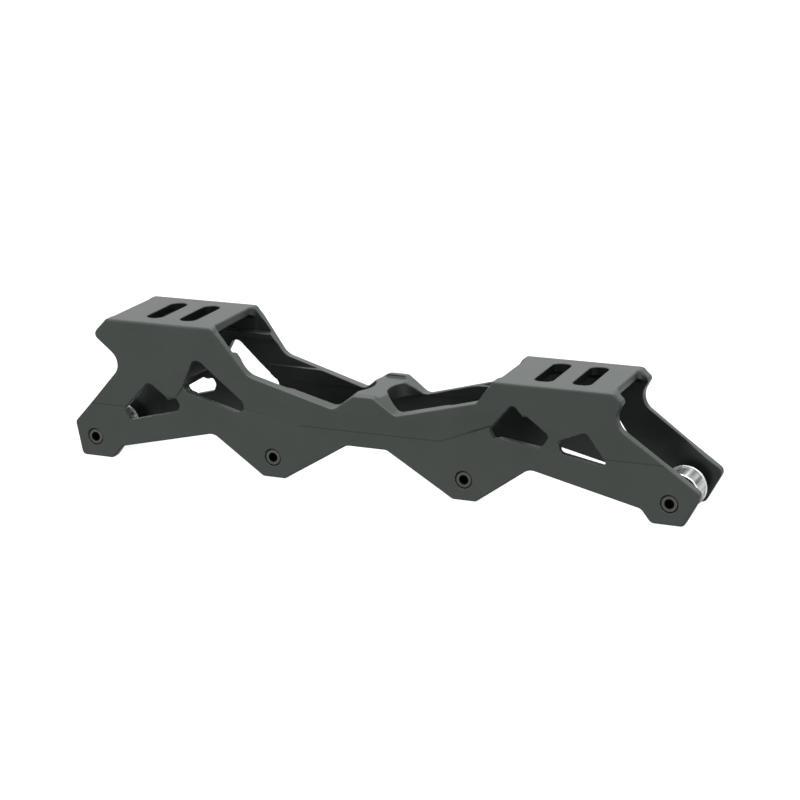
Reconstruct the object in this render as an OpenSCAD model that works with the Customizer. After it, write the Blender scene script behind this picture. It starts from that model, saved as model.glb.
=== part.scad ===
// Four-wheel inline skate frame, milled from one aluminium extrusion.
// Two side walls carry four wheel axles and are tied together by a rear deck,
// a lower front deck, a small bridge in the middle and a flat tie under each deck.
// +X is the toe end, +Y the side with the axle heads, +Z up.
// Drawn about the axle line at mid wheelbase, then moved so that the origin
// is under the middle of the frame, on the surface it stands on.

/* [Wheelbase] */
// Distance from one axle to the next
axle_pitch = 81; // [80.5:0.1:81.5]
// Height of the axle line above the flat bottom of the lobes
lobe_drop = 8.2; // [7.6:0.1:8.4]

/* [Walls] */
// Half of the outer width at the axles
wall_out = 16.7; // [16.4:0.1:17]
// Half of the clear width between the walls at the axles
wall_in = 12.4; // [12.2:0.1:12.6]
// Thickness of the walls away from the axles
wall_t = 2.7; // [2.5:0.1:2.8]
// Flat face of the bosses inside the walls, which carry the axles
boss_d = 17; // [16:0.1:18]
// Foot of the bosses, where their slope runs out into the wall
boss_foot_d = 30; // [28:0.1:32]
// Height of the crease where the walls start to lean out
crease_z = 14.5; // [14:0.1:15]
// Outward lean of the outer faces above the crease, mm per mm
lean_out = 0.1; // [0.08:0.005:0.11]
// Half of the clear width under the front deck
front_in = 14.2; // [14:0.1:14.3]
// Half of the clear width at the ledge under the rear deck
ledge_in = 14.5; // [14:0.1:14.6]
// Height of that ledge
ledge_z = 41.2; // [41:0.1:42]

/* [Decks] */
// Height of the rear deck top above the axles
rear_deck_z = 51.5; // [51:0.1:52]
// Height of the front deck top above the axles
front_deck_z = 41; // [40.6:0.1:41.4]
// Thickness of both decks
deck_t = 3.4; // [3:0.1:3.6]
// Radius along the outer edges of the decks
deck_edge_r = 1.2; // [1:0.1:2.5]
// Radius in the inner corners under the decks
deck_inner_r = 2.5; // [1:0.1:2.5]
// Radius in plan where the ends of the decks meet the walls
deck_end_r = 3; // [1:0.1:4]

/* [Boot bolt slots] */
// Distance between a front slot and the rear slot it pairs with
mount_spacing = 165; // [164.6:0.1:165.4]
// Distance between the two slots of one deck
slot_pitch = 15; // [14.5:0.1:15.5]
// Middle of the rearmost slot
slot_x = -94.2; // [-94.6:0.1:-93.8]
// Length of the slots across the deck
slot_len = 25.2; // [22:0.1:25.4]
// Width of the rear slots, which have round ends
rear_slot_w = 7.2; // [6.4:0.1:7.4]
// Width of the front slots, which have square ends with round corners
front_slot_w = 7.4; // [6.8:0.1:7.8]
// Corner radius of the front slots
front_slot_r = 3; // [1:0.1:3.2]

/* [Bridge] */
// Top of the middle web, and of the bridge left from it
web_top = 28.5; // [27.5:0.1:28.6]
// Underside of the middle web
web_bottom = 22.6; // [22.4:0.1:24]
// Half of the width milled out of the web beside the bridge
web_cut = 12.6; // [12.5:0.05:12.7]
// Height of the ridge that the web leaves on each wall
ridge = 0.3; // [0.2:0.1:0.5]
// Width of the bridge at its waist
bridge_w = 7; // [6:0.1:9]
// Width of the flat ties between the outer pairs of wheels
tie_w = 6; // [5:0.1:6.5]
// Height of the ties, flush with the top of the web
tie_h = 3.6; // [3:0.1:4]

/* [Axles] */
// Diameter of the axle barrel, for standard wheel bearings
barrel_d = 8; // [7.98:0.01:8.02]
// Head of the barrel
barrel_head_d = 11; // [10.6:0.1:11.2]
// Diameter of the axle screw
screw_d = 5; // [4.9:0.1:5]
// Head of the axle screw, sunk in the wall
screw_head_d = 6.4; // [6.2:0.1:6.6]
// Hexagon socket of the screw, across flats
screw_key = 3.2; // [2.8:0.1:3.4]
// How far the screw head lies below the face of the wall
screw_sink = 0.3; // [0.2:0.1:0.6]
// Radial clearance of every running fit
fit = 0.05; // [0.03:0.01:0.08]

/* [Spacers] */
// Diameter over the rims of the turned spacer
spacer_d = 16.4; // [16:0.1:16.4]
// Diameter between the rims
spacer_waist_d = 15.4; // [14:0.1:15.4]
// Length of the spacer
spacer_len = 11.2; // [10:0.1:12]
// Width of each rim
spacer_rim = 1; // [0.8:0.1:2]

/* [Hidden] */
$fn = 48;
eps = 0.02;
face_gap = 0.05;

frame_col = [0.27, 0.29, 0.29];
barrel_col = [0.16, 0.16, 0.17];
screw_col = [0.2, 0.2, 0.21];
spacer_col = [0.82, 0.83, 0.84];

// axle stations, rear to front
axle_x = [for (i = [0:3]) (i - 1.5) * axle_pitch];
// shift from the axle line to the base of the frame
x_shift = -1.6;

inner = wall_out - wall_t;          // half of the clear width between the walls away from the axles
near_seat = -(wall_out - 2.2);      // seat of the screw head
far_seat = wall_out - 2;            // seat of the barrel head

// half of the outer width at height z
function half_out(z) = z <= crease_z ? wall_out : wall_out + lean_out * (z - crease_z);

// ---- rounded outlines: every corner is [x, y, radius] ----
function unit2(v) = v / norm(v);
function corner(a, b, c, r) =
    r <= 0 ? [b] :
    let (u = unit2(a - b), w = unit2(c - b),
         h = acos(u * w) / 2,
         m = b + unit2(u + w) * r / sin(h),
         s = b + u * r / tan(h) - m,
         e = b + w * r / tan(h) - m,
         a0 = atan2(s[1], s[0]),
         da = (atan2(e[1], e[0]) - a0 + 540) % 360 - 180,
         n = max(2, ceil(abs(da) / 11)))
    [for (i = [0:n]) m + r * [cos(a0 + da * i / n), sin(a0 + da * i / n)]];
function xy(p) = [p[0], p[1]];
function rounded(p) = let (k = len(p)) [for (i = [0:k - 1])
    each corner(xy(p[(i + k - 1) % k]), xy(p[i]), xy(p[(i + 1) % k]), p[i][2])];
// the same profile on both sides of the middle plane
function mirrored(p) = concat(p, [for (i = [len(p) - 1:-1:0]) [-p[i][0], p[i][1], p[i][2]]]);

// The upper edges are milled square to the leaning walls, so their inner side is higher.
lean_deg = atan(lean_out);
rise = 0.45;
// upper outline at the outer face, rear to front, run out below both ends
upper_outline = [
    [-163.4, -30, 0], [-105.3, 33.2, 6.5], [-117.9, 44.4, 2.5], [-111.3, rear_deck_z, 2.5],
    [-63.4, rear_deck_z, 2.5], [-49.5, 32.9, 8], [-12.9, 22.6, 4], [-4, 29.1, 3],
    [4, 29.1, 3], [13, 22.5, 4], [46.7, 31.4, 3], [53.6, front_deck_z, 1.5],
    [100.6, front_deck_z, 2.5], [104.3, 37.3, 2], [99.9, 28.5, 6.5], [180.6, -30, 0]];
// whole side outline at the inner edges
outline = [
    // top, rear to front
    [-118.1, 44.6, 2.5], [-111.5, rear_deck_z + 0.1, 2.5], [-63.2, rear_deck_z + 0.1, 2.5],
    [-49.3, 32.9 + rise, 8], [-12.9, 22.6 + rise, 4], [-4, 29.1 + rise, 3],
    [4, 29.1 + rise, 3], [13, 22.5 + rise, 4], [46.5, 31.4 + rise, 3],
    [53.4, front_deck_z + 0.1, 1.5], [100.8, front_deck_z + 0.1, 2.5],
    [104.5, 37.5, 2], [99.9, 28.5 + rise, 6.5], [133.9, 4 + rise, 2.8],
    // bottom, front to rear
    [127, -lobe_drop, 2], [114.6, -lobe_drop, 3], [110.7, -3.1, 3], [67, 7.2, 5],
    [45.4, -lobe_drop, 2], [35.8, -lobe_drop, 2], [8.6, 8.4, 3],
    [-8.2, 8.4, 3], [-35.4, -lobe_drop, 2], [-45, -lobe_drop, 2], [-66.6, 7.1, 5],
    [-109, -2.8, 3], [-113.3, -lobe_drop, 3], [-128, -lobe_drop, 2], [-130.6, 5.8 + rise, 2],
    [-105.5, 33.4, 6.5]];

// lightening windows, the same in both walls
window_a = [[-107, 13.3, 1.6], [-94.4, 26.1, 2.2], [-85.8, 19.1, 3], [-82.6, 20.3, 1.4],
            [-81.2, 17.4, 1.6], [-82.4, 14.7, 1.4], [-104.7, 8.8, 1.2]];
window_b = [[-72.3, 38.9, 2.8], [-43.5, 13.8, 3], [-79.8, 23.7, 2.6]];
window_c = [[61.3, 32.9, 2], [64.2, 29, 1.2], [66.9, 28.1, 2], [75.3, 21.3, 1.8],
            [71.7, 16, 2.4], [55.5, 18.4, 0.8], [53.1, 17.5, 1], [51.3, 21.1, 1.2]];
window_d = [[89.8, 24.3, 2.2], [98.2, 11.45, 1.1], [79.4, 15.05, 1.8], [78.8, 19.5, 1.3]];

// lower flat of the outer faces: everything under this line is upright
flat_edge = [
    [-140, -20, 0], [-140, crease_z, 0], [-106, crease_z, 0], [-95, 20, 0], [-83, 20, 0],
    [-78.5, 26, 0], [-60, 22, 0], [-52.3, 19, 0], [-35.2, 15.8, 8], [-27.9, crease_z, 4],
    [31.2, crease_z, 8], [51.9, 22.6, 0], [62, 22, 0], [72, 17.2, 0], [79.2, 15, 0], [96.6, crease_z, 0],
    [140, crease_z, 0], [140, -20, 0]];

// ---- helpers ----
module base() { translate([x_shift, 0, lobe_drop]) children(); }
module side(p, y0, y1) {
    translate([0, y1, 0]) rotate([90, 0, 0]) linear_extrude(height = y1 - y0) polygon(rounded(p));
}
module across(p, x0, x1) {
    translate([x0, 0, 0]) rotate([90, 0, 90]) linear_extrude(height = x1 - x0) polygon(rounded(p));
}
// round bar along Y
module bar(d, y0, y1) {
    translate([0, y1, 0]) rotate([90, 0, 0]) cylinder(d = d, h = y1 - y0);
}
module cone(d0, d1, y0, y1) {
    translate([0, y0, 0]) rotate([-90, 0, 0]) cylinder(d1 = d0, d2 = d1, h = y1 - y0);
}
module hex(af, y0, y1) {
    translate([0, y1, 0]) rotate([90, 0, 0]) cylinder(d = af / cos(30), h = y1 - y0, $fn = 6);
}
// solid of revolution about the Y axis, profile as [radius, y]
module turned(p) { rotate([-90, 0, 0]) rotate_extrude($fn = 64) polygon(p); }

function outer_section(z) = mirrored([
    [wall_out, -20, 0], [wall_out, crease_z, 0], [half_out(z), z, deck_edge_r]]);
// the walls get a little thinner inside above the crease
function channel_low() = [[inner, -20, 0], [inner, crease_z, 0], [inner + 0.3, web_bottom, 0], [inner + 0.3, web_top, 0]];
// the rear walls thicken to a rib under the ledge
function rear_channel() = mirrored(concat(channel_low(), [
    [half_out(ledge_z - 4.7) - 3.7, ledge_z - 4.7, 3], [ledge_in, ledge_z - 2, 1], [ledge_in, ledge_z, 0],
    [half_out(ledge_z) - 2.7, ledge_z, 0.6],
    [half_out(ledge_z) - 2.5, rear_deck_z - deck_t, deck_inner_r]]));
function front_channel() = mirrored(concat(channel_low(),
    [[front_in, front_deck_z - deck_t, deck_inner_r]]));

split_x = -20;

// upper outline of the -Y wall, square to its outer face
module leaning_side() {
    translate([0, -wall_out, crease_z]) rotate([lean_deg, 0, 0]) translate([0, wall_out, -crease_z])
        side(upper_outline, -40, 6);
}
module walls_and_decks() {
    intersection() {
        side(outline, -30, 30);
        union() { leaning_side(); mirror([0, 1, 0]) leaning_side(); }
        union() {
            across(outer_section(rear_deck_z), -140, split_x);
            across(outer_section(front_deck_z), split_x, 140);
        }
    }
}
module channel() {
    union() {
        across(rear_channel(), -141, split_x + eps);
        across(front_channel(), split_x, 141);
    }
}
// bosses around the axles, left standing inside both walls
module bosses() {
    for (x = axle_x) translate([x, 0, 0]) {
        cone(boss_foot_d, boss_d, -inner, -wall_in);
        cone(boss_d, boss_foot_d, wall_in, inner);
    }
}
// middle web: milled away lengthwise, so only the bridge, the two ties and a ridge on each wall stay
module web() {
    c = bridge_w / 2 + web_cut;
    w = inner + 0.3 - ridge;
    for (s = [-1, 1]) translate([s * axle_pitch - tie_w / 2, -15, web_top - tie_h]) cube([tie_w, 30, tie_h]);
    // the rear walls are thicker where they meet the tie
    for (y = [-15, wall_in]) translate([-88, y, web_top - 8]) cube([13, 15 - wall_in, 8]);
    difference() {
        translate([-56, -15, web_bottom]) cube([112, 30, web_top - web_bottom]);
        for (s = [-1, 1]) {
            translate([s * c, 0, web_bottom - 1]) cylinder(r = web_cut, h = 20, $fn = 96);
            translate([0, 0, web_bottom - 1]) linear_extrude(height = 20)
                polygon([[s * c, -web_cut], [s * 46, -w], [s * 60, -w], [s * 60, w], [s * 46, w], [s * c, web_cut]]);
        }
    }
}
// the decks end square between the walls
module deck_ends() {
    rear_in = half_out(ledge_z) - 2.6;
    front_end = front_in - 0.1;
    translate([0, 0, ledge_z + 0.3]) linear_extrude(height = 20) {
        polygon(rounded([[-64.6, -rear_in, deck_end_r], [-64.6, rear_in, deck_end_r],
                         [split_x, rear_in, 0], [split_x, -rear_in, 0]]));
        polygon(rounded([[-111, -rear_in, deck_end_r], [-111, rear_in, deck_end_r],
                         [-141, rear_in, 0], [-141, -rear_in, 0]]));
    }
    translate([0, 0, web_top + 1]) linear_extrude(height = 30) {
        polygon(rounded([[54.4, -front_end, deck_end_r], [54.4, front_end, deck_end_r],
                         [20, front_end, 0], [20, -front_end, 0]]));
        polygon(rounded([[100.1, -front_end, deck_end_r], [100.1, front_end, deck_end_r],
                         [141, front_end, 0], [141, -front_end, 0]]));
    }
}
module rear_slot() {
    l = slot_len / 2 - rear_slot_w / 2;
    for (s = [-1, 1]) translate([0, s * l, rear_deck_z - 5]) cylinder(d = rear_slot_w, h = 8);
    translate([-rear_slot_w / 2, -l, rear_deck_z - 5]) cube([rear_slot_w, 2 * l, 8]);
}
module front_slot() {
    w = front_slot_w / 2; l = slot_len / 2; r = front_slot_r;
    translate([0, 0, front_deck_z - 5]) linear_extrude(height = 8)
        polygon(rounded([[-w, -l, r], [w, -l, r], [w, l, r], [-w, l, r]]));
}
module axle_holes() {
    // screw side: clearance hole, counterbore and a small chamfer
    bar(screw_d + 2 * fit, -wall_out - 1, -wall_in + 1);
    bar(screw_head_d + 0.4, -wall_out - 1, near_seat);
    cone(screw_head_d + 1, screw_head_d + 0.4, -wall_out - 0.1, -wall_out + 0.2);
    // head side: barrel bore and counterbore
    bar(barrel_d + 2 * fit, wall_in - 1, wall_out + 1);
    bar(barrel_head_d + 0.6, far_seat, wall_out + 1);
    cone(barrel_head_d + 0.6, barrel_head_d + 1.2, wall_out - 0.2, wall_out + 0.1);
}

// ---- sub-parts ----
module frame_body() {
    color(frame_col) base() difference() {
        walls_and_decks();
        difference() { channel(); web(); bosses(); }
        deck_ends();
        for (w = [window_a, window_b, window_c, window_d]) side(w, -30, 30);
        side(flat_edge, -30, -wall_out);
        side(flat_edge, wall_out, 30);
        for (i = [0, 1]) {
            translate([slot_x + i * slot_pitch, 0, 0]) rear_slot();
            translate([slot_x + mount_spacing + i * slot_pitch, 0, 0]) front_slot();
        }
        for (x = axle_x) translate([x, 0, 0]) axle_holes();
    }
}
// female half of an axle: head on the +Y side, tapped end by the other wall
module axle_barrel(x) {
    color(barrel_col) base() translate([x, 0, 0]) difference() {
        turned([[0, -wall_in + face_gap], [barrel_d / 2 - 0.3, -wall_in + face_gap],
                [barrel_d / 2, -wall_in + face_gap + 0.3], [barrel_d / 2, far_seat + face_gap],
                [barrel_head_d / 2, far_seat + face_gap], [barrel_head_d / 2, wall_out - 0.8],
                [barrel_head_d / 2 - 0.6, wall_out - 0.2], [0, wall_out - 0.2]]);
        bar(screw_d + 2 * fit, -wall_in - 1, -1);
        hex(4, wall_out - 3.2, wall_out + 1);
    }
}
// male half: cylinder head with a hexagon socket, sunk in the -Y wall
module axle_screw(x) {
    top = -wall_out + screw_sink;
    color(screw_col) base() translate([x, 0, 0]) difference() {
        turned([[0, top], [screw_head_d / 2 - 0.35, top],
                [screw_head_d / 2, top + 0.35], [screw_head_d / 2, near_seat - face_gap],
                [screw_d / 2, near_seat - face_gap], [screw_d / 2, -2.6],
                [screw_d / 2 - 0.6, -2], [0, -2]]);
        hex(screw_key, top - 1, top + 3.2);
    }
}
// turned spool that turns freely on the axle
module axle_spacer(x) {
    r = spacer_d / 2; w = spacer_waist_d / 2; l = spacer_len / 2; c = 0.3;
    color(spacer_col) base() translate([x, 0, 0])
        turned([[barrel_d / 2 + fit, -l], [r - c, -l], [r, -l + c], [r, -l + spacer_rim - c],
                [w, -l + spacer_rim + 0.3], [w, l - spacer_rim - 0.3], [r, l - spacer_rim + c],
                [r, l - c], [r - c, l], [barrel_d / 2 + fit, l]]);
}

frame_body();
axle_barrel(axle_x[0]);  // axle_barrel_1
axle_barrel(axle_x[1]);  // axle_barrel_2
axle_barrel(axle_x[2]);  // axle_barrel_3
axle_barrel(axle_x[3]);  // axle_barrel_4
axle_screw(axle_x[0]);  // axle_screw_1
axle_screw(axle_x[1]);  // axle_screw_2
axle_screw(axle_x[2]);  // axle_screw_3
axle_screw(axle_x[3]);  // axle_screw_4
axle_spacer(axle_x[0]);  // axle_spacer_1
axle_spacer(axle_x[1]);  // axle_spacer_2
axle_spacer(axle_x[2]);  // axle_spacer_3
axle_spacer(axle_x[3]);  // axle_spacer_4
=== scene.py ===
import math

import bmesh
import bpy
import numpy as np
from mathutils import Matrix, Vector


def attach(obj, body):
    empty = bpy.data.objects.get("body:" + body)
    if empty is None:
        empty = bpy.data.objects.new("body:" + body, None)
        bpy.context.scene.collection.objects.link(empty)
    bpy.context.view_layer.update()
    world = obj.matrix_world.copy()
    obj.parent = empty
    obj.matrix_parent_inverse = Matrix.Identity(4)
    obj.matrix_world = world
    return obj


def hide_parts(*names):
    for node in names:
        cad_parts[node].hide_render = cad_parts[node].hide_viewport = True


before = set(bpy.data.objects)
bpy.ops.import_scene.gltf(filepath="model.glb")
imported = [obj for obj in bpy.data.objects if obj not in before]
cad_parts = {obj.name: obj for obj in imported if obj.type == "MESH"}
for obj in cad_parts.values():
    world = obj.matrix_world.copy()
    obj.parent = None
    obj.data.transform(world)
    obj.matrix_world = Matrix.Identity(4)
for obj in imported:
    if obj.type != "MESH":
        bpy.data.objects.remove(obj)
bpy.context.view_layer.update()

# The shapes below are drawn in millimetres about the axle line at mid wheelbase,
# and go to the row frame in metres with this shift.
SHIFT = np.array([-1.6, 0.0, 8.2])
AXLES = (-121.5, -40.5, 40.5, 121.5)


# ---------------------------------------------------------------- camera
def make_camera():
    az, el, roll = math.radians(23.759), math.radians(16.825), math.radians(-1.301)
    back = Vector((math.sin(az) * math.cos(el), -math.cos(az) * math.cos(el), math.sin(el)))
    right = (-back).cross(Vector((0, 0, 1))).normalized()
    up = right.cross(-back)
    r2 = math.cos(roll) * right + math.sin(roll) * up
    u2 = -math.sin(roll) * right + math.cos(roll) * up
    place = Vector((0.33160, -0.73965, 0.27636))
    data = bpy.data.cameras.new("camera")
    data.sensor_width = 36.0
    data.lens = 97.494
    data.clip_start, data.clip_end = 0.01, 50.0
    cam = bpy.data.objects.new("camera", data)
    cam.matrix_world = Matrix((
        (r2.x, u2.x, back.x, place.x), (r2.y, u2.y, back.y, place.y),
        (r2.z, u2.z, back.z, place.z), (0, 0, 0, 1)))
    bpy.context.scene.collection.objects.link(cam)
    bpy.context.scene.camera = cam
    return cam


make_camera()


# ---------------------------------------------------------------- outlines
def rounded(points, step=4.0):
    """Closed outline from corners given as (x, y, radius)."""
    out = []
    k = len(points)
    for i in range(k):
        a, b, c = (np.array(points[j % k][:2], float) for j in (i - 1, i, i + 1))
        r = points[i][2]
        if r <= 0:
            out.append(b)
            continue
        u, w = (a - b) / np.linalg.norm(a - b), (c - b) / np.linalg.norm(c - b)
        h = math.acos(max(-1.0, min(1.0, float(u @ w)))) / 2
        m = b + (u + w) / np.linalg.norm(u + w) * r / math.sin(h)
        s, e = b + u * r / math.tan(h) - m, b + w * r / math.tan(h) - m
        a0 = math.atan2(s[1], s[0])
        da = (math.atan2(e[1], e[0]) - a0 + 3 * math.pi) % (2 * math.pi) - math.pi
        n = max(2, math.ceil(abs(math.degrees(da)) / step))
        for j in range(n + 1):
            t = a0 + da * j / n
            out.append(m + r * np.array([math.cos(t), math.sin(t)]))
    return np.array(out)


def polygon_distance(poly, px, py):
    """Signed distance to a closed polygon, negative inside."""
    best = np.full(px.shape, 1e9)
    inside = np.zeros(px.shape, bool)
    for i in range(len(poly)):
        ax, ay = poly[i]
        bx, by = poly[(i + 1) % len(poly)]
        ex, ey = bx - ax, by - ay
        ll = ex * ex + ey * ey
        if ll < 1e-14:
            continue
        t = np.clip(((px - ax) * ex + (py - ay) * ey) / ll, 0, 1)
        best = np.minimum(best, (px - ax - t * ex) ** 2 + (py - ay - t * ey) ** 2)
        if ay != by:
            cross = (ay > py) != (by > py)
            inside ^= cross & (px < (bx - ax) * (py - ay) / (by - ay) + ax)
    d = np.sqrt(best)
    return np.where(inside, -d, d)


class Table:
    """Distance to an outline, looked up by bilinear interpolation."""

    def __init__(self, points, box, step):
        self.x0, self.y0, x1, y1 = box
        self.step = step
        gx = np.arange(self.x0, x1 + step, step)
        gy = np.arange(self.y0, y1 + step, step)
        self.nx, self.ny = len(gx), len(gy)
        self.d = polygon_distance(rounded(points), gx[:, None] + 0 * gy, 0 * gx[:, None] + gy).astype(np.float32)

    def __call__(self, x, y):
        u = np.clip((x - self.x0) / self.step, 0, self.nx - 1.001)
        v = np.clip((y - self.y0) / self.step, 0, self.ny - 1.001)
        i, j = u.astype(np.int32), v.astype(np.int32)
        u, v = (u - i).astype(np.float32), (v - j).astype(np.float32)
        i, j, u, v = np.broadcast_arrays(i, j, u, v)
        d = self.d
        return (d[i, j] * (1 - u) + d[i + 1, j] * u) * (1 - v) + (d[i, j + 1] * (1 - u) + d[i + 1, j + 1] * u) * v


REAR_Z, FRONT_Z, DECK_T = 51.5, 41.0, 3.4
WALL_OUT, WALL_IN, INNER, CREASE_Z, LEAN = 16.7, 12.4, 14.0, 14.5, 0.1
LEDGE_IN, LEDGE_Z = 14.5, 41.2
WEB_TOP, WEB_BOTTOM, WEB_CUT, BRIDGE_W, RIDGE = 28.5, 22.6, 12.6, 7.0, 0.3
BOSS_R, BOSS_FOOT = 8.5, 15.0
TIE_X, TIE_W, TIE_H = 81.0, 6.0, 3.6
LOBE, SPLIT = -8.2, -20.0

# side outline at the outer faces, with the deck tops
OUTLINE = [
    (-117.9, 44.4, 2.5), (-111.3, REAR_Z, 2.5), (-63.4, REAR_Z, 2.5), (-49.5, 32.9, 8), (-12.9, 22.6, 4), (-4, 29.1, 3),
    (4, 29.1, 3), (13, 22.5, 4), (46.7, 31.4, 3), (53.6, FRONT_Z, 1.5), (100.6, FRONT_Z, 2.5), (104.3, 37.3, 2),
    (99.9, 28.5, 6.5), (133.9, 4.45, 2.8), (127, LOBE, 2), (114.6, LOBE, 3), (110.7, -3.1, 3), (67, 7.2, 5),
    (45.4, LOBE, 2), (35.8, LOBE, 2), (8.6, 8.4, 3), (-8.2, 8.4, 3), (-35.4, LOBE, 2), (-45, LOBE, 2),
    (-66.6, 7.1, 5), (-109, -2.8, 3), (-113.3, LOBE, 3), (-128, LOBE, 2), (-130.5, 5.8, 2), (-105.3, 33.2, 6.5)]
WINDOWS = [
    [(-107, 13.3, 1.6), (-94.4, 26.1, 2.2), (-85.8, 19.1, 3), (-82.6, 20.3, 1.4), (-81.2, 17.4, 1.6), (-82.4, 14.7, 1.4),
     (-104.7, 8.8, 1.2)],
    [(-72.3, 38.9, 2.8), (-43.5, 13.8, 3), (-79.8, 23.7, 2.6)],
    [(61.3, 32.9, 2), (64.2, 29, 1.2), (66.9, 28.1, 2), (75.3, 21.3, 1.8), (71.7, 16, 2.4), (55.5, 18.4, 0.8),
     (53.1, 17.5, 1), (51.3, 21.1, 1.2)],
    [(89.8, 24.3, 2.2), (98.2, 11.45, 1.1), (79.4, 15.05, 1.8), (78.8, 19.5, 1.3)]]
CREASE = [(-145, CREASE_Z, 0), (-106, CREASE_Z, 0), (-95, 20, 0), (-83, 20, 0), (-78.5, 26, 0), (-60, 22, 0),
          (-52.3, 19, 0), (-35.2, 15.8, 8), (-27.9, CREASE_Z, 4), (31.2, CREASE_Z, 8), (51.9, 22.6, 0), (62, 22, 0),
          (72, 17.2, 0), (79.2, 15, 0), (96.6, CREASE_Z, 0), (145, CREASE_Z, 0)]
FLAT_EDGE = [(-145, -30, 0)] + CREASE + [(145, -30, 0)]
REAR_Y = WALL_OUT + LEAN * (LEDGE_Z - CREASE_Z)
FRONT_IN = 14.2


def both_sides(p):
    return p + [(-x, y, r) for x, y, r in reversed(p)]


def half_out(z):
    return WALL_OUT + LEAN * (z - CREASE_Z)


LOW = [(INNER, -30, 0), (INNER, CREASE_Z, 0), (INNER + 0.3, WEB_BOTTOM, 0), (INNER + 0.3, WEB_TOP, 0)]
REAR_CHANNEL = both_sides(LOW + [(half_out(36.5) - 3.7, 36.5, 3), (LEDGE_IN, LEDGE_Z - 2, 1), (LEDGE_IN, LEDGE_Z, 0),
                                 (REAR_Y - 2.7, LEDGE_Z, 0.6), (REAR_Y - 2.5, REAR_Z - DECK_T, 2.5)])
FRONT_CHANNEL = both_sides(LOW + [(FRONT_IN, FRONT_Z - DECK_T, 2.5)])
REAR_SLOTS, FRONT_SLOTS = (-94.2, -79.2), (70.8, 85.8)


def rmax(a, b, r):
    """Intersection of two solids with its edge rounded."""
    u, v = np.maximum(a + r, 0), np.maximum(b + r, 0)
    return np.minimum(np.maximum(a, b), -r) + np.sqrt(u * u + v * v)


def rmin(a, b, r):
    """Union of two solids with its inner corner filled."""
    return -rmax(-a, -b, r)


def smooth(lo, hi, x):
    t = np.clip((x - lo) / (hi - lo), 0, 1)
    return t * t * (3 - 2 * t)


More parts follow.
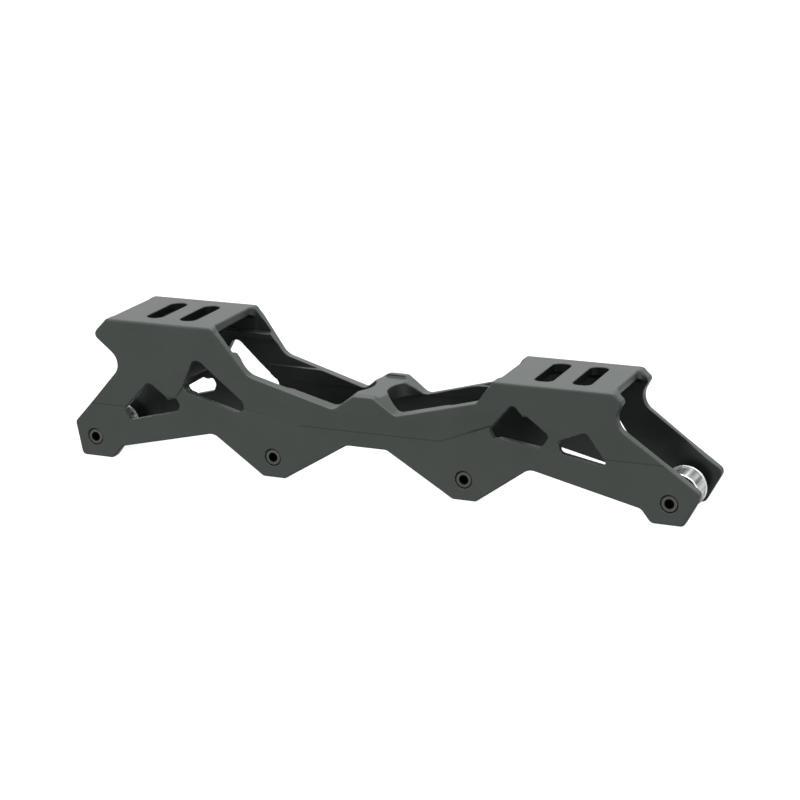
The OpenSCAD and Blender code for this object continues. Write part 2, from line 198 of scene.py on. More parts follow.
class Field:
    """Distance to the surface of the milled frame."""

    def __init__(self):
        self.outline = Table(OUTLINE, (-136, -14, 139, 58), 0.2)
        self.flat = Table(FLAT_EDGE, (-136, -14, 139, 58), 0.25)
        self.windows = []
        for w in WINDOWS:
            x0, z0 = min(p[0] for p in w) - 4, min(p[1] for p in w) - 4
            x1, z1 = max(p[0] for p in w) + 4, max(p[1] for p in w) + 4
            self.windows.append((x0, x1, Table(w, (x0, z0, x1, z1), 0.1)))
        self.rear = Table(REAR_CHANNEL, (0, -14, 26, 58), 0.1)
        self.front = Table(FRONT_CHANNEL, (0, -14, 26, 58), 0.1)

    def blank(self, x, y, z):
        """The frame without its axle holes; all of x lies on one side of SPLIT."""
        rear = np.max(x) < SPLIT
        ay = np.abs(y)
        # the leaning face runs out gently into the flat one, with a low step left at the edge
        flat = self.flat(x, z)
        lean = LEAN * np.maximum(z - CREASE_Z, 0) * (0.2 * smooth(0.0, 0.6, flat) + 0.8 * smooth(-8.0, 8.0, flat))
        side = (ay - WALL_OUT - lean) * 0.995
        deck = REAR_Z if rear else FRONT_Z
        # the upper edges are square to the leaning walls, so their inner side is higher; the decks are level
        up = LEAN * np.maximum(WALL_OUT + lean - ay, 0) * smooth(9.0, 17.0, z) * (1 - smooth(deck - 7, deck - 2, z))
        edge_r = 0.45 + 0.75 * smooth(deck - 4, deck - 1.5, z)
        solid = rmax(side, self.outline(x, z - up), edge_r)
        # channel between the walls, with the middle web and the two ties left standing
        channel = (self.rear if rear else self.front)(ay, z)
        c = BRIDGE_W / 2 + WEB_CUT
        ax = np.abs(x)
        cut = WEB_CUT + (INNER + 0.3 - RIDGE - WEB_CUT) * np.clip((ax - c) / (46 - c), 0, 1)
        plan = np.where(ax > c, ay, np.hypot(np.minimum(ax - c, 0), y)) - cut
        web = rmax(np.maximum(z - WEB_TOP, WEB_BOTTOM - z), np.maximum(-plan, ax - 56), 0.35)
        tie = rmax(np.abs(ax - TIE_X) - TIE_W / 2, np.maximum(z - WEB_TOP, WEB_TOP - TIE_H - z), 0.3)
        left = np.minimum(web, tie)
        if rear:
            # the rear walls are thicker where they meet the tie
            pad = rmax(np.abs(x + 81.5) - 6.5, np.maximum(z - WEB_TOP, WEB_TOP - 8 - z), 0.6)
            left = np.minimum(left, np.maximum(pad, WALL_IN - ay))
        channel = rmax(channel, -left, 0.4)
        # bosses around the axles, with flanks that run out into the walls
        for a in AXLES:
            if (a < SPLIT) == rear and np.min(x) < a + 18 and np.max(x) > a - 18:
                flank = (BOSS_FOOT - BOSS_R) / (INNER - WALL_IN)
                cone = (np.hypot(x - a, z) - BOSS_R - flank * (ay - WALL_IN)) / math.hypot(1, flank)
                channel = rmax(channel, -rmax(cone, WALL_IN - ay, 0.3), 0.2)
        solid = rmax(solid, -channel, 0.4)

        # the decks end square between the walls
        def plan_box(x0, x1, half, r):
            qx, qy = np.abs(x - (x0 + x1) / 2) - (x1 - x0) / 2 + r, ay - half + r
            return np.hypot(np.maximum(qx, 0), np.maximum(qy, 0)) + np.minimum(np.maximum(qx, qy), 0) - r
        if rear:
            half = REAR_Y - 2.6
            ends = np.minimum(plan_box(-64.6, -10, half, 3), plan_box(-170, -111, half, 3))
            solid = rmax(solid, -np.maximum(ends, LEDGE_Z + 0.3 - z), 0.6)
            slots = np.minimum(plan_slot(x, y, REAR_SLOTS[0], 3.6, 3.59), plan_slot(x, y, REAR_SLOTS[1], 3.6, 3.59))
        else:
            half = FRONT_IN - 0.1
            ends = np.minimum(plan_box(0, 54.4, half, 3), plan_box(100.1, 170, half, 3))
            solid = rmax(solid, -np.maximum(ends, WEB_TOP + 1 - z), 0.8)
            slots = np.minimum(plan_slot(x, y, FRONT_SLOTS[0], 3.7, 3.0), plan_slot(x, y, FRONT_SLOTS[1], 3.7, 3.0))
        solid = rmax(solid, -np.maximum(slots, deck - 5 - z), 0.35)
        for x0, x1, table in self.windows:
            inside = (x > x0) & (x < x1)
            if np.any(inside):
                solid = np.where(inside, rmax(solid, -table(x, z), 0.35), solid)
        return solid

    def drill(self, solid, a, x, y, z):
        """The holes of the axle at x = a taken out of a solid."""
        r = np.hypot(x - a, z)
        near = np.minimum(r - 2.55, np.maximum(np.minimum(r - 3.4, (r - 3.65 + y + WALL_OUT) * 0.7), y + 14.5))
        far = np.minimum(r - 4.05, np.maximum(np.minimum(r - 5.8, (r - 6.1 - y + WALL_OUT) * 0.7), WALL_OUT - 2 - y))
        return rmax(solid, -np.where(y < 0, near, far), 0.06)

    def points(self, p):
        out = np.empty(len(p))
        rear = p[:, 0] < SPLIT
        for m in (rear, ~rear):
            if m.any():
                out[m] = self.blank(*p[m].T)
        for a in AXLES:
            m = (np.abs(p[:, 0] - a) < 8) & (np.abs(p[:, 2]) < 8)
            out[m] = self.drill(out[m], a, *p[m].T)
        return out

    def gradient(self, p, e=0.02, base=None):
        """Central differences, or forward ones where the values at the points are given."""
        g = np.empty_like(p)
        for k in range(3):
            q = p.copy()
            q[:, k] += e
            hi = self.points(q)
            if base is None:
                q[:, k] -= 2 * e
                g[:, k] = (hi - self.points(q)) / (2 * e)
            else:
                g[:, k] = (hi - base) / e
        return g


def plan_slot(x, y, c, half, r):
    qx, qy = np.abs(x - c) - half + r, np.abs(y) - 12.6 + r
    return np.hypot(np.maximum(qx, 0), np.maximum(qy, 0)) + np.minimum(np.maximum(qx, qy), 0) - r


def surface(field, lo, hi, h):
    """Points and quads of the field's surface, one point for each cell that it crosses."""
    gx, gz = np.arange(lo[0], hi[0] + h, h), np.arange(lo[2], hi[2] + h, h)
    half = (np.arange(math.ceil(hi[1] / h) + 1) + 0.5) * h
    gy = np.concatenate([-half[::-1], half])
    n = (len(gx), len(gy), len(gz))
    f = np.empty(n, np.float32)
    cut = int(np.searchsorted(gx, SPLIT))
    starts = sorted(set(range(0, cut, 48)) | set(range(cut, n[0], 48)))
    for i, j in zip(starts, starts[1:] + [n[0]]):
        v = field.blank(gx[i:j, None, None], half[None, :, None], gz[None, None, :])
        f[i:j] = np.concatenate([v[:, ::-1], v], 1)
    low = slice(int(np.searchsorted(gz, -8)), int(np.searchsorted(gz, 8)))
    for a in AXLES:
        w = slice(int(np.searchsorted(gx, a - 8)), int(np.searchsorted(gx, a + 8)))
        f[w, :, low] = field.drill(f[w, :, low], a, gx[w, None, None], gy[None, :, None], gz[None, None, low])
    ins = f < 0
    count = np.zeros((n[0] - 1, n[1] - 1, n[2] - 1), np.int8)
    corners = [(a, b, c) for a in (0, 1) for b in (0, 1) for c in (0, 1)]
    for a, b, c in corners:
        count += ins[a:n[0] - 1 + a, b:n[1] - 1 + b, c:n[2] - 1 + c]
    cells = np.argwhere((count > 0) & (count < 8))
    index = np.full(count.shape, -1, np.int32)
    index[tuple(cells.T)] = np.arange(len(cells))
    value = {k: f[tuple((cells + k).T)] for k in corners}
    total, hits = np.zeros((len(cells), 3)), np.zeros(len(cells))
    for k in corners:
        for axis in range(3):
            if k[axis]:
                continue
            m = tuple(1 if j == axis else k[j] for j in range(3))
            va, vb = value[k], value[m]
            cross = (va < 0) != (vb < 0)
            t = np.where(cross, va / np.where(cross, va - vb, 1), 0)
            p = np.tile(np.array(k, float), (len(cells), 1))
            p[:, axis] += t
            total += np.where(cross[:, None], p, 0)
            hits += cross
    pts = np.array([gx[0], gy[0], gz[0]]) + (cells + total / hits[:, None]) * h
    quads = []
    for axis in range(3):
        b, c = (axis + 1) % 3, (axis + 2) % 3
        sl = [slice(None)] * 3
        sl[axis] = slice(0, n[axis] - 1)
        first = ins[tuple(sl)]
        sl[axis] = slice(1, n[axis])
        edges = np.argwhere(first != ins[tuple(sl)])
        edges = edges[(edges[:, b] > 0) & (edges[:, c] > 0) & (edges[:, b] < n[b] - 1) & (edges[:, c] < n[c] - 1)]
        start = first[tuple(edges.T)]
        loop = []
        for db, dc in ((1, 1), (0, 1), (0, 0), (1, 0)):
            q = edges.copy()
            q[:, b] -= db
            q[:, c] -= dc
            loop.append(index[tuple(q.T)])
        q = np.stack(loop, 1)
        q[~start] = q[~start][:, ::-1]
        quads.append(q)
    return pts, np.concatenate(quads)


def settle(field, pts, h, rounds):
    for _ in range(rounds):
        d = field.points(pts)
        g = field.gradient(pts, base=d)
        step = d / np.maximum((g * g).sum(1), 0.25)
        pts = pts - np.clip(step, -0.4 * h, 0.4 * h)[:, None] * g
    return pts


def set_normals(mesh, field, h):
    """Normals from the field, but wide flat faces keep their own next to a rounded edge."""
    def get(items, name, n, kind):
        a = np.empty(len(items) * n, kind)
        items.foreach_get(name, a)
        return a.reshape(-1, n) if n > 1 else a
    co = get(mesh.vertices, "co", 3, np.float32).astype(float) * 1000 - SHIFT
    g = field.gradient(co, 0.03)
    g /= np.linalg.norm(g, axis=1)[:, None]
    loops = g[get(mesh.loops, "vertex_index", 1, np.int32)]
    total = get(mesh.polygons, "loop_total", 1, np.int32)
    wide = np.repeat(get(mesh.polygons, "area", 1, np.float32) * 1e6 > 1.6 * h * h, total)
    face = np.repeat(get(mesh.polygons, "normal", 3, np.float32), total, axis=0)
    off = (loops * face).sum(1) < math.cos(math.radians(2.5))
    pick = wide & off
    loops[pick] = face[pick]
    mesh.normals_split_custom_set(loops.tolist())


def make_frame_body():
    field = Field()
    h = 0.4
    pts, quads = surface(field, (-133.03, -21.5, -9.613), (136.2, 21.5, 53.1), h)
    pts = settle(field, pts, h, 2)
    mesh = bpy.data.meshes.new("skate_frame")
    mesh.from_pydata(((pts + SHIFT) / 1000).tolist(), [], quads.tolist())
    bm = bmesh.new()
    bm.from_mesh(mesh)
    bmesh.ops.dissolve_limit(bm, angle_limit=math.radians(0.35), verts=bm.verts, edges=bm.edges)
    bm.to_mesh(mesh)
    bm.free()
    for p in mesh.polygons:
        p.use_smooth = True
    set_normals(mesh, field, h)
    ob = bpy.data.objects.new("skate_frame", mesh)
    bpy.context.scene.collection.objects.link(ob)
    print("frame mesh", len(mesh.vertices), len(mesh.polygons), "from", len(quads))
    return ob


# ---------------------------------------------------------------- materials
def tree(name):
    mat = bpy.data.materials.new(name)
    mat.use_nodes = True
    nt = mat.node_tree
    nt.nodes.clear()
    out = nt.nodes.new("ShaderNodeOutputMaterial")
    bsdf = nt.nodes.new("ShaderNodeBsdfPrincipled")
    nt.links.new(bsdf.outputs[0], out.inputs[0])
    return mat, nt, bsdf


def add(nt, kind, inputs=None, **props):
    n = nt.nodes.new(kind)
    for k, v in props.items():
        setattr(n, k, v)
    for k, v in (inputs or {}).items():
        if isinstance(v, bpy.types.NodeSocket):
            nt.links.new(v, n.inputs[k])
        else:
            n.inputs[k].default_value = v
    return n


def crease_painted_shade(nt, co):
    """Mask of a thin painted shade line along the edge where the flat lower face meets the leaning one."""
    part = add(nt, "ShaderNodeSeparateXYZ", {0: co})
    flat = add(nt, "ShaderNodeCombineXYZ", {0: part.outputs[0], 1: 0.0, 2: part.outputs[2]}).outputs[0]
    path = [Vector(((x + SHIFT[0]) / 1000, 0, (z + SHIFT[2]) / 1000)) for x, z, _ in CREASE]
    best = None
    for i in (0, 3, 8, 9, 14):
        a, b = path[i], path[i + 1]
        e = b - a
        v = add(nt, "ShaderNodeVectorMath", {0: flat, 1: a}, operation="SUBTRACT")
        d = add(nt, "ShaderNodeVectorMath", {0: v.outputs[0], 1: e}, operation="DOT_PRODUCT")
        t = add(nt, "ShaderNodeMath", {0: d.outputs["Value"], 1: 1.0 / e.length_squared}, operation="MULTIPLY", use_clamp=True)
        q = add(nt, "ShaderNodeVectorMath", {0: t.outputs[0], 1: e, 2: a}, operation="MULTIPLY_ADD")
        r = add(nt, "ShaderNodeVectorMath", {0: flat, 1: q.outputs[0]}, operation="DISTANCE").outputs["Value"]
        best = r if best is None else add(nt, "ShaderNodeMath", {0: best, 1: r}, operation="MINIMUM").outputs[0]
    line = add(nt, "ShaderNodeMapRange", {"Value": best, "From Min": 0.00012, "From Max": 0.0004, "To Min": 1.0, "To Max": 0.0},
               interpolation_type="SMOOTHSTEP")
    depth = add(nt, "ShaderNodeMath", {0: part.outputs[1]}, operation="ABSOLUTE")
    outer = add(nt, "ShaderNodeMath", {0: depth.outputs[0], 1: 0.0165}, operation="GREATER_THAN")
    return add(nt, "ShaderNodeMath", {0: line.outputs[0], 1: outer.outputs[0]}, operation="MULTIPLY").outputs[0]


def inner_painted_shade(nt, co):
    """How much painted shade darkens the milled faces inside the channel and in the slots."""
    part = add(nt, "ShaderNodeSeparateXYZ", {0: co})
    x, y, z = part.outputs
    rise = add(nt, "ShaderNodeMath", {0: z, 1: (CREASE_Z + SHIFT[2]) / 1000}, operation="SUBTRACT")
    rise = add(nt, "ShaderNodeMath", {0: rise.outputs[0], 1: 0.0}, operation="MAXIMUM")
    outer = add(nt, "ShaderNodeMath", {0: rise.outputs[0], 1: LEAN, 2: WALL_OUT / 1000}, operation="MULTIPLY_ADD")
    wide = add(nt, "ShaderNodeMath", {0: y}, operation="ABSOLUTE")
    depth = add(nt, "ShaderNodeMath", {0: outer.outputs[0], 1: wide.outputs[0]}, operation="SUBTRACT")
    inside = add(nt, "ShaderNodeMapRange", {"Value": depth.outputs[0], "From Min": 0.0007, "From Max": 0.0022},
                 interpolation_type="SMOOTHSTEP")
    normal = add(nt, "ShaderNodeSeparateXYZ", {0: add(nt, "ShaderNodeNewGeometry").outputs["Normal"]})
    nx = add(nt, "ShaderNodeMath", {0: normal.outputs[0]}, operation="ABSOLUTE")
    slot = None
    for c, deck in ((sum(REAR_SLOTS) / 2, REAR_Z), (sum(FRONT_SLOTS) / 2, FRONT_Z)):
        off = add(nt, "ShaderNodeMath", {0: x, 1: (c + SHIFT[0]) / 1000}, operation="SUBTRACT")
        off = add(nt, "ShaderNodeMath", {0: off.outputs[0]}, operation="ABSOLUTE")
        away = add(nt, "ShaderNodeMath", {0: off.outputs[0], 1: 0.013}, operation="GREATER_THAN")
        nx = add(nt, "ShaderNodeMath", {0: nx.outputs[0], 1: away.outputs[0]}, operation="MULTIPLY")
        by = add(nt, "ShaderNodeMath", {0: 1.0, 1: away.outputs[0]}, operation="SUBTRACT")
        high = add(nt, "ShaderNodeMath", {0: z, 1: (deck - 3.6 + SHIFT[2]) / 1000}, operation="GREATER_THAN")
        here = add(nt, "ShaderNodeMath", {0: by.outputs[0], 1: high.outputs[0]}, operation="MULTIPLY").outputs[0]
        slot = here if slot is None else add(nt, "ShaderNodeMath", {0: slot, 1: here}, operation="MAXIMUM").outputs[0]
    open_face = add(nt, "ShaderNodeMath", {0: nx.outputs[0], 1: normal.outputs[2]}, operation="MAXIMUM")
    shut = add(nt, "ShaderNodeMapRange", {"Value": open_face.outputs[0], "From Min": 0.35, "From Max": 0.75, "To Min": 1.0, "To Max": 0.0},
               interpolation_type="SMOOTHSTEP")
    mask = add(nt, "ShaderNodeMath", {0: inside.outputs[0], 1: shut.outputs[0]}, operation="MULTIPLY").outputs[0]
    depth = add(nt, "ShaderNodeMath", {0: slot, 1: 0.25, 2: 0.5}, operation="MULTIPLY_ADD").outputs[0]
    return add(nt, "ShaderNodeMath", {0: mask, 1: depth}, operation="MULTIPLY").outputs[0]


def anodised():
    mat, nt, bsdf = tree("anodised_grey")
    co = add(nt, "ShaderNodeTexCoord").outputs["Object"]
    cloud = add(nt, "ShaderNodeTexNoise", {"Vector": co, "Scale": 55.0, "Detail": 3.0, "Roughness": 0.55})
    grain = add(nt, "ShaderNodeTexNoise", {"Vector": co, "Scale": 3200.0, "Detail": 2.0, "Roughness": 0.6})
    mix = add(nt, "ShaderNodeMath", {0: cloud.outputs["Fac"], 1: 0.7}, operation="MULTIPLY")
    mix = add(nt, "ShaderNodeMath", {0: grain.outputs["Fac"], 1: 0.3, 2: mix.outputs[0]}, operation="MULTIPLY_ADD")
    ramp = add(nt, "ShaderNodeValToRGB", {"Fac": mix.outputs[0]})
    ramp.color_ramp.elements[0].position, ramp.color_ramp.elements[1].position = 0.3, 0.7
    ramp.color_ramp.elements[0].color = (0.066, 0.076, 0.070, 1)
    ramp.color_ramp.elements[1].color = (0.080, 0.092, 0.085, 1)
    # painted shade: a thin dark line along the crease cuts the base colour to 0.72, standing in for the shade of a low
    # step
    line = crease_painted_shade(nt, co)
    dark = add(nt, "ShaderNodeMapRange", {"Value": line, "To Min": 1.0, "To Max": 0.72})
    # painted shade: the base colour is darker on the milled faces inside the channel and in the slots, where they stand
    # in shade
    inner = inner_painted_shade(nt, co)
    painted_shade = add(nt, "ShaderNodeMath", {0: 1.0, 1: inner}, operation="SUBTRACT")
    both = add(nt, "ShaderNodeMath", {0: dark.outputs[0], 1: painted_shade.outputs[0]}, operation="MULTIPLY")
    shade = add(nt, "ShaderNodeVectorMath", {0: ramp.outputs["Color"], 1: both.outputs[0]}, operation="MULTIPLY")
    nt.links.new(shade.outputs[0], bsdf.inputs["Base Color"])
    rough = add(nt, "ShaderNodeMapRange", {"Value": mix.outputs[0], "From Min": 0.3, "From Max": 0.7,
                                           "To Min": 0.41, "To Max": 0.48})
    nt.links.new(rough.outputs[0], bsdf.inputs["Roughness"])
    bsdf.inputs["Metallic"].default_value = 0.9
    bump = add(nt, "ShaderNodeBump", {"Strength": 0.08, "Distance": 0.00003, "Height": grain.outputs["Fac"]})
    nt.links.new(bump.outputs[0], bsdf.inputs["Normal"])
    return mat


def turned_metal(name, dark, light, rough, metallic, pitch):
    """Metal with fine rings left by a lathe tool, about an axis along Y."""
    mat, nt, bsdf = tree(name)
    co = add(nt, "ShaderNodeTexCoord").outputs["Object"]
    part = add(nt, "ShaderNodeSeparateXYZ", {0: co})
    wide = add(nt, "ShaderNodeMapping", {"Vector": co, "Scale": (40.0, 1.0 / pitch, 40.0)})
    rings = add(nt, "ShaderNodeTexNoise", {"Vector": wide.outputs[0], "Scale": 1.0, "Detail": 3.0, "Roughness": 0.7})
    fine = add(nt, "ShaderNodeTexNoise", {"Vector": co, "Scale": 900.0, "Detail": 2.0})
    mix = add(nt, "ShaderNodeMath", {0: fine.outputs["Fac"], 1: 0.25, 2: rings.outputs["Fac"]}, operation="MULTIPLY_ADD")
    ramp = add(nt, "ShaderNodeValToRGB", {"Fac": mix.outputs[0]})
    ramp.color_ramp.elements[0].position, ramp.color_ramp.elements[1].position = 0.4, 0.85
    ramp.color_ramp.elements[0].color = (*dark, 1)
    ramp.color_ramp.elements[1].color = (*light, 1)
    nt.links.new(ramp.outputs["Color"], bsdf.inputs["Base Color"])
    r = add(nt, "ShaderNodeMapRange", {"Value": mix.outputs[0], "From Min": 0.35, "From Max": 0.9,
                                       "To Min": rough * 0.85, "To Max": rough * 1.2})
    nt.links.new(r.outputs[0], bsdf.inputs["Roughness"])
    bsdf.inputs["Metallic"].default_value = metallic
    bump = add(nt, "ShaderNodeBump", {"Strength": 0.25, "Distance": 0.00002, "Height": rings.outputs["Fac"]})
    nt.links.new(bump.outputs[0], bsdf.inputs["Normal"])
    return mat


def bright_turned():
    """Bright turned aluminium: fine rings about an axis along Y, painted reflection streaks that run along the axis, a
    painted highlight on each rim and painted shade on the end faces.
    """
    mat, nt, bsdf = tree("turned_aluminium")
    coords = add(nt, "ShaderNodeTexCoord")
    co = coords.outputs["Object"]
    mid = add(nt, "ShaderNodeVectorMath", {0: coords.outputs["Generated"], 1: (0.5, 0.5, 0.5)}, operation="SUBTRACT")
    mid = add(nt, "ShaderNodeVectorMath", {0: mid.outputs[0], 1: (1.0, 0.0, 1.0)}, operation="MULTIPLY")
    way = add(nt, "ShaderNodeVectorMath", {0: mid.outputs[0]}, operation="NORMALIZE")
    # painted reflection: broad dark and bright streaks by angle about the axis stand in for the frame and sky mirrored
    # in the spool
    reflection_streak = add(nt, "ShaderNodeTexNoise", {"Vector": way.outputs[0], "Scale": 1.9, "Detail": 2.0, "Roughness": 0.6})
    wide = add(nt, "ShaderNodeMapping", {"Vector": co, "Scale": (5.0, 5500.0, 5.0)})
    rings = add(nt, "ShaderNodeTexNoise", {"Vector": wide.outputs[0], "Scale": 1.0, "Detail": 2.0, "Roughness": 0.6})
    mix = add(nt, "ShaderNodeMath", {0: rings.outputs["Fac"], 1: 0.12, 2: reflection_streak.outputs["Fac"]}, operation="MULTIPLY_ADD")
    ramp = add(nt, "ShaderNodeValToRGB", {"Fac": mix.outputs[0]})
    e = ramp.color_ramp.elements
    e[0].position, e[0].color = 0.44, (0.11, 0.115, 0.115, 1)
    e[1].position, e[1].color = 0.72, (0.78, 0.79, 0.77, 1)
    m = e.new(0.56)
    m.color = (0.34, 0.35, 0.35, 1)
    part = add(nt, "ShaderNodeSeparateXYZ", {0: co})
    end = add(nt, "ShaderNodeMath", {0: part.outputs[1]}, operation="ABSOLUTE")
    # painted highlight: a thin band at each rim's chamfer has its base colour lifted to at least 0.85
    rim = add(nt, "ShaderNodeMapRange", {"Value": end.outputs[0], "From Min": 0.0045, "From Max": 0.0047})
    rim_highlight = add(nt, "ShaderNodeMath", {0: rim.outputs[0], 1: 0.85}, operation="MULTIPLY")
    tone = add(nt, "ShaderNodeVectorMath", {0: ramp.outputs["Color"], 1: rim_highlight.outputs[0]}, operation="MAXIMUM")
    # painted shade: the flat end faces have their base colour cut to 0.06
    face = add(nt, "ShaderNodeMapRange", {"Value": end.outputs[0], "From Min": 0.00555, "From Max": 0.00559, "To Min": 1.0, "To Max": 0.06})
    tone = add(nt, "ShaderNodeVectorMath", {0: tone.outputs[0], 1: face.outputs[0]}, operation="MULTIPLY")
    nt.links.new(tone.outputs[0], bsdf.inputs["Base Color"])
    r = add(nt, "ShaderNodeMapRange", {"Value": rings.outputs["Fac"], "From Min": 0.3, "From Max": 0.7,
                                       "To Min": 0.22, "To Max": 0.32})
    nt.links.new(r.outputs[0], bsdf.inputs["Roughness"])
    bsdf.inputs["Metallic"].default_value = 0.8
    bsdf.inputs["Anisotropic"].default_value = 0.5
    tangent = add(nt, "ShaderNodeTangent", direction_type="RADIAL", axis="Y")
    nt.links.new(tangent.outputs[0], bsdf.inputs["Tangent"])
    return mat


def socket_painted_shade():
    """Painted shade: a nearly black, unreflective inside for a hexagon socket."""
    mat, nt, bsdf = tree("socket_painted_shade")
    co = add(nt, "ShaderNodeTexCoord").outputs["Object"]
    noise = add(nt, "ShaderNodeTexNoise", {"Vector": co, "Scale": 1500.0, "Detail": 2.0})
    ramp = add(nt, "ShaderNodeValToRGB", {"Fac": noise.outputs["Fac"]})
    ramp.color_ramp.elements[0].color = (0.0015, 0.0015, 0.0015, 1)
    ramp.color_ramp.elements[1].color = (0.005, 0.005, 0.005, 1)
    nt.links.new(ramp.outputs["Color"], bsdf.inputs["Base Color"])
    bsdf.inputs["Roughness"].default_value = 0.6
    bsdf.inputs["Specular IOR Level"].default_value = 0.03
    return mat


# ---------------------------------------------------------------- turned pieces
def profile(points, step=15.0):
    """Open path of (radius, y, fillet) corners with the corners rounded."""
    out = []
    k = len(points)
    for i, (r, y, f) in enumerate(points):
        if f <= 0 or i in (0, k - 1):
            out.append((r, y))
            continue
        a, b, c = (np.array(points[j][:2], float) for j in (i - 1, i, i + 1))
        u, w = (a - b) / np.linalg.norm(a - b), (c - b) / np.linalg.norm(c - b)
        h = math.acos(max(-1.0, min(1.0, float(u @ w)))) / 2
        m = b + (u + w) / np.linalg.norm(u + w) * f / math.sin(h)
        s, e = b + u * f / math.tan(h) - m, b + w * f / math.tan(h) - m
        a0 = math.atan2(s[1], s[0])
        da = (math.atan2(e[1], e[0]) - a0 + 3 * math.pi) % (2 * math.pi) - math.pi
        n = max(2, math.ceil(abs(math.degrees(da)) / step))
        for j in range(n + 1):
            t = a0 + da * j / n
            q = m + f * np.array([math.cos(t), math.sin(t)])
            out.append((float(q[0]), float(q[1])))
    return out


def hexagon(af):
    """Radius of a hexagon of that width across flats, by angle."""
    def at(t):
        s = (t + math.pi / 6) % (math.pi / 3) - math.pi / 6
        return af / 2 / np.cos(s)
    return at


def revolve(name, rings, seg=96, closed=False):
    """Rings of (radius or function of angle, y) about the Y axis, joined into one skin."""
    t = np.arange(seg) * 2 * math.pi / seg
    bm = bmesh.new()
    loops = []
    for r, y in rings:
        if not callable(r) and r < 1e-9:
            loops.append([bm.verts.new((0, y, 0))])
            continue
        rr = r(t) if callable(r) else np.full(seg, r)
        yy = y(t) if callable(y) else np.full(seg, y)
        loops.append([bm.verts.new((a * math.cos(b), c, a * math.sin(b))) for a, b, c in zip(rr, t, yy)])
    pairs = list(zip(loops, loops[1:] + loops[:1])) if closed else list(zip(loops, loops[1:]))
    for a, b in pairs:
        for i in range(seg):
            j = (i + 1) % seg
            if len(a) == 1 and len(b) == 1:
                continue
            if len(a) == 1:
                bm.faces.new((a[0], b[j], b[i]))
            elif len(b) == 1:
                bm.faces.new((a[i], a[j], b[0]))
            else:
                bm.faces.new((a[i], a[j], b[j], b[i]))
    bmesh.ops.recalc_face_normals(bm, faces=bm.faces)
    mesh = bpy.data.meshes.new(name)
    bm.to_mesh(mesh)
    bm.free()
    for p in mesh.polygons:
        p.use_smooth = True
    mesh.set_sharp_from_angle(angle=math.radians(32))
    return mesh


def place(mesh, name, x, node, body, slot, mat, socket=None):
    m = mesh.copy()
    m.name = name
    m.transform(Matrix.Scale(0.001, 4))
    m.transform(Matrix.Translation(((x + SHIFT[0]) / 1000, 0, SHIFT[2] / 1000)))
    m.materials.append(mat)
    if socket:
        m.materials.append(socket)
    ob = bpy.data.objects.new(name, m)
    bpy.context.scene.collection.objects.link(ob)
    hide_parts(node)
    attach(ob, body)
    return ob


def paint_socket_shade(mesh, r, y0, y1):
    """Gives the faces inside a socket the second material, the painted shade."""
    for p in mesh.polygons:
        x, y, z = p.center
        if math.hypot(x, z) < r and y0 < y < y1:
            p.material_index = 1
    return mesh


def spool_mesh():
    """Turned spool with a thin rim at each end, a tool groove inside each rim and a plain waist."""
    R, W, L, rim, bore = 8.2, 7.72, 5.6, 0.95, 4.05
    end = [(bore, L - 0.35, 0), (bore + 0.35, L, 0), (R - 0.28, L, 0.0), (R, L - 0.28, 0.1),
           (R, L - rim + 0.12, 0.12), (R - 0.3, L - rim, 0.08), (W - 0.22, L - rim - 0.25, 0.08), (W, L - rim - 0.55, 0.1),
           (W - 0.03, L - rim - 1.6, 0.1), (W - 0.12, 0.4, 0)]
    rings = profile([(r, -y, f) for r, y, f in end]) + profile(end[::-1])
    return revolve("spool", rings, 128, closed=True)


def thread(y0, y1, r, depth, pitch, per=10, out=-1):
    """Rings of a screw thread between y0 and y1."""
    rings = []
    n = max(2, int(abs(y1 - y0) / pitch * per))
    for i in range(n + 1):
        y = y0 + (y1 - y0) * i / n
        fade = min(1.0, min(i, n - i) / per)

        def at(t, y=y, fade=fade):
            u = (y / pitch - t / (2 * math.pi)) % 1.0
            ramp = np.clip(np.abs(u - 0.5) * 2 * 1.25 - 0.1, 0, 1)
            return r + out * depth * fade * ramp
        rings.append((at, y))
    return rings


def screw_mesh():
    """Socket-head axle screw, head towards -Y."""
    top, seat, end = -16.4, -14.55, -2.0
    hexr = hexagon(3.2)
    rings = [(0.0, top + 3.7), (hexr, top + 3.1), (hexr, top + 0.3), (lambda t: np.maximum(hexr(t), 1.92), top + 0.04)]
    rings += profile([(2.05, top, 0), (2.95, top, 0), (3.26, top + 0.28, 0.15), (3.26, seat, 0.05), (2.5, seat, 0.15),
                      (2.5, seat + 2.4, 0)])
    rings += thread(seat + 2.5, end - 0.65, 2.5, 0.3, 0.8)
    rings += [(2.0, end - 0.55), (1.7, end - 0.1), (1.5, end), (0.0, end)]
    return paint_socket_shade(revolve("screw", rings, 72), 1.91, top + 0.02, end - 5)


def barrel_mesh():
    """Female half of the axle, head towards +Y, tapped from the other end."""
    top, seat, end = 16.5, 14.75, -12.35
    hexr = hexagon(4.0)
    rings = [(0.0, top - 3.4), (hexr, top - 2.9), (hexr, top - 0.3), (lambda t: np.maximum(hexr(t), 2.38), top - 0.03)]
    rings += profile([(2.6, top, 0), (4.9, top, 0), (5.5, top - 0.6, 0.3), (5.5, seat, 0.08), (4.0, seat, 0.2),
                      (4.0, end + 0.35, 0), (3.65, end, 0), (3.05, end, 0)])
    rings += [(2.95, end + 0.1)] + thread(end + 0.5, -1.6, 2.55, 0.4, 0.8, out=1) + [(2.55, -1.2), (0.0, -1.0)]
    return paint_socket_shade(revolve("barrel", rings, 72), 2.37, 3.0, top - 0.02)


# ---------------------------------------------------------------- build
GREY = anodised()
body = make_frame_body()
body.data.materials.append(GREY)
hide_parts("frame_body")
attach(body, "frame")

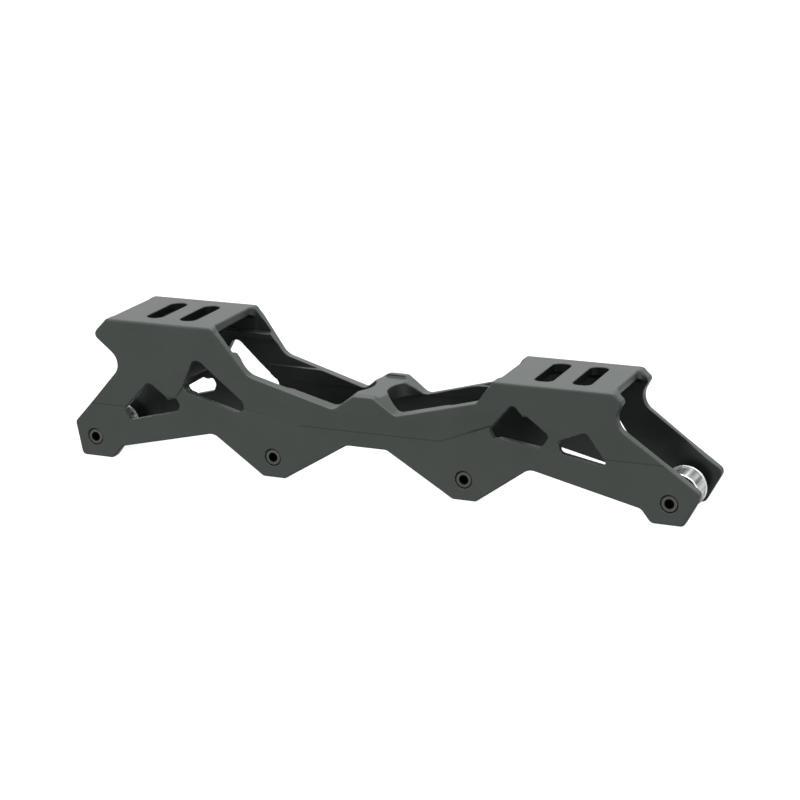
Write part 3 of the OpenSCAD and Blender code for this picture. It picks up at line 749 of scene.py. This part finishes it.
BRIGHT = bright_turned()
STEEL = turned_metal("dark_screw_steel", (0.075, 0.075, 0.072), (0.12, 0.12, 0.115), 0.36, 0.8, 0.0003)
BLACK = turned_metal("black_axle_steel", (0.035, 0.036, 0.037), (0.06, 0.061, 0.063), 0.32, 0.6, 0.0003)
SOCKET = socket_painted_shade()
spool, screw, barrel = spool_mesh(), screw_mesh(), barrel_mesh()
for i, x in enumerate(AXLES, 1):
    place(spool, f"spool_{i}", x, f"axle_spacer_{i}", f"spacer_{i}", "spacer", BRIGHT)
    place(screw, f"screw_{i}", x, f"axle_screw_{i}", f"screw_{i}", "axle_screw", STEEL, SOCKET)
    place(barrel, f"barrel_{i}", x, f"axle_barrel_{i}", f"barrel_{i}", "axle_barrel", BLACK, SOCKET)


# ---------------------------------------------------------------- stage
def make_stage():
    mesh = bpy.data.meshes.new("floor")
    s = 6.0
    mesh.from_pydata([(-s, -s, 0), (s, -s, 0), (s, s, 0), (-s, s, 0)], [], [(0, 1, 2, 3)])
    floor = bpy.data.objects.new("floor", mesh)
    bpy.context.scene.collection.objects.link(floor)
    mat, nt, bsdf = tree("pale_floor")
    bsdf.inputs["Base Color"].default_value = (0.22, 0.22, 0.22, 1)
    bsdf.inputs["Roughness"].default_value = 0.9
    bsdf.inputs["Specular IOR Level"].default_value = 0.0
    bsdf.inputs["Emission Color"].default_value = (1, 1, 1, 1)
    bsdf.inputs["Emission Strength"].default_value = 0.9
    mesh.materials.append(mat)
    floor.visible_diffuse = False
    floor.visible_glossy = False
    world = bpy.data.worlds.new("studio")
    world.use_nodes = True
    nt = world.node_tree
    bg = nt.nodes["Background"]
    part = add(nt, "ShaderNodeSeparateXYZ", {0: add(nt, "ShaderNodeTexCoord").outputs["Generated"]})
    t = add(nt, "ShaderNodeMapRange", {"Value": part.outputs[2], "From Min": -1.0, "From Max": 1.0})
    ramp = add(nt, "ShaderNodeValToRGB", {"Fac": t.outputs[0]})
    stops = [(-1.0, 0.05), (-0.76, 0.08), (-0.56, 1.1), (-0.42, 1.15), (-0.18, 0.66), (0.05, 0.42), (0.13, 0.5), (0.26, 1.95), (0.42, 1.95),
             (0.54, 0.4), (0.66, 0.4), (0.76, 1.4), (1.0, 1.4)]
    e = ramp.color_ramp.elements
    while len(e) < len(stops):
        e.new(0.5)
    for i, (z, v) in enumerate(stops):
        e[i].position = (z + 1) / 2
        e[i].color = (v, v, v, 1)
    nt.links.new(ramp.outputs["Color"], bg.inputs["Color"])
    bpy.context.scene.world = world

    def area(name, size, power, loc, at):
        data = bpy.data.lights.new(name, "AREA")
        data.shape = "RECTANGLE"
        data.size, data.size_y = size
        data.energy = power
        ob = bpy.data.objects.new(name, data)
        ob.location = loc
        ob.rotation_mode = "QUATERNION"
        ob.rotation_quaternion = (Vector(at) - Vector(loc)).to_track_quat("-Z", "Y")
        bpy.context.scene.collection.objects.link(ob)
        return ob

    area("overhead", (1.6, 1.2), 15.0, (0.1, 0.25, 1.3), (0, 0, 0))
    view = bpy.context.scene.view_settings
    view.view_transform = "Standard"
    view.look = "None"


make_stage()
